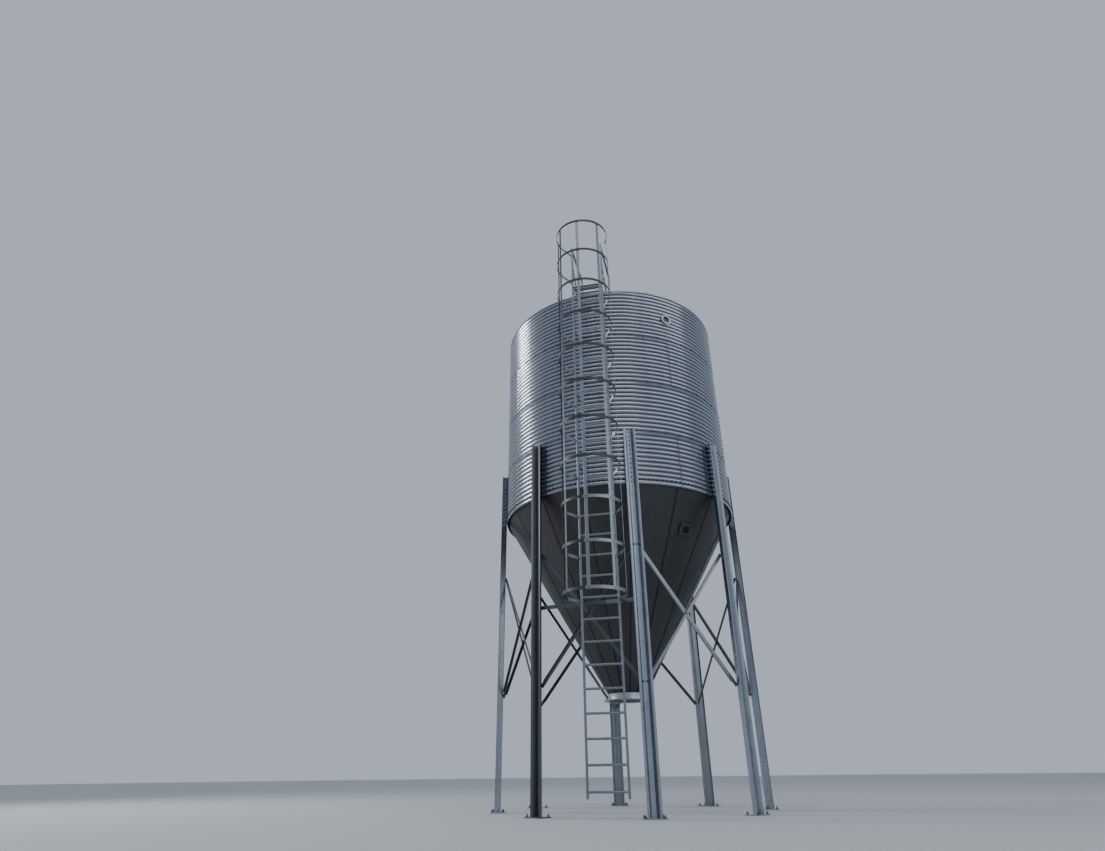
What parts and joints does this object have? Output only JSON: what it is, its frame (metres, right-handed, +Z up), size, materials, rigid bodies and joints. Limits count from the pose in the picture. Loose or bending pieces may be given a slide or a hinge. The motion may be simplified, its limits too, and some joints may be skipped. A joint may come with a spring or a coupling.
{
  "type": "feed silo",
  "caption": "Round corrugated steel feed silo on legs, with a steep cone below, a low conical roof and a caged ladder to the rim.",
  "frame": {"origin": "on the ground, under the middle of the whole silo's bounding box; the tank's own axis is 461 mm from it towards +Y", "axes": "+Z up, -Y towards the side with the caged ladder, +X to the right when facing the ladder"},
  "size_m": [3.5946, 4.5168, 8.0986],
  "materials": {
    "wall_steel": "bright galvanised corrugated sheet, satin, lightly weathered",
    "hopper_steel": "dull galvanised plain sheet with faint brown dirt runs",
    "roof_steel": "galvanised sheet, satin",
    "leg_steel": "hot-dip galvanised, grey, slightly mottled",
    "ladder_steel": "hot-dip galvanised, grey, dull",
    "fitting_steel": "galvanised, light grey"
  },
  "bodies": {
    "root": {"wall_ring_1_sheet_1": "wall_steel", "wall_ring_1_sheet_2": "wall_steel", "wall_ring_2_sheet_1": "wall_steel", "wall_ring_2_sheet_2": "wall_steel", "wall_ring_3_sheet_1": "wall_steel", "wall_ring_3_sheet_2": "wall_steel", "wall_ring_4_sheet_1": "wall_steel", "wall_ring_4_sheet_2": "wall_steel", "hopper_panel_1": "hopper_steel", "hopper_panel_2": "hopper_steel", "hopper_panel_3": "hopper_steel", "hopper_panel_4": "hopper_steel", "outlet_collar": "hopper_steel", "roof_panel_1": "roof_steel", "roof_panel_2": "roof_steel", "roof_panel_3": "roof_steel", "roof_panel_4": "roof_steel", "peak_ring": "fitting_steel", "fill_lid": "roof_steel", "leg_1": "leg_steel", "leg_2": "leg_steel", "leg_3": "leg_steel", "leg_4": "leg_steel", "leg_5": "leg_steel", "leg_6": "leg_steel", "leg_7": "leg_steel", "leg_8": "leg_steel", "leg_brace_1": "leg_steel", "leg_brace_2": "leg_steel", "leg_brace_3": "leg_steel", "leg_brace_4": "leg_steel", "leg_brace_5": "leg_steel", "leg_brace_6": "leg_steel", "leg_brace_7": "leg_steel", "leg_brace_8": "leg_steel", "ladder": "ladder_steel", "ladder_cage": "ladder_steel", "ladder_support_bar": "leg_steel", "handrail_left": "ladder_steel", "handrail_right": "ladder_steel", "landing_step": "ladder_steel", "level_port": "fitting_steel", "sight_window": "fitting_steel"}
  },
  "joints": []
}
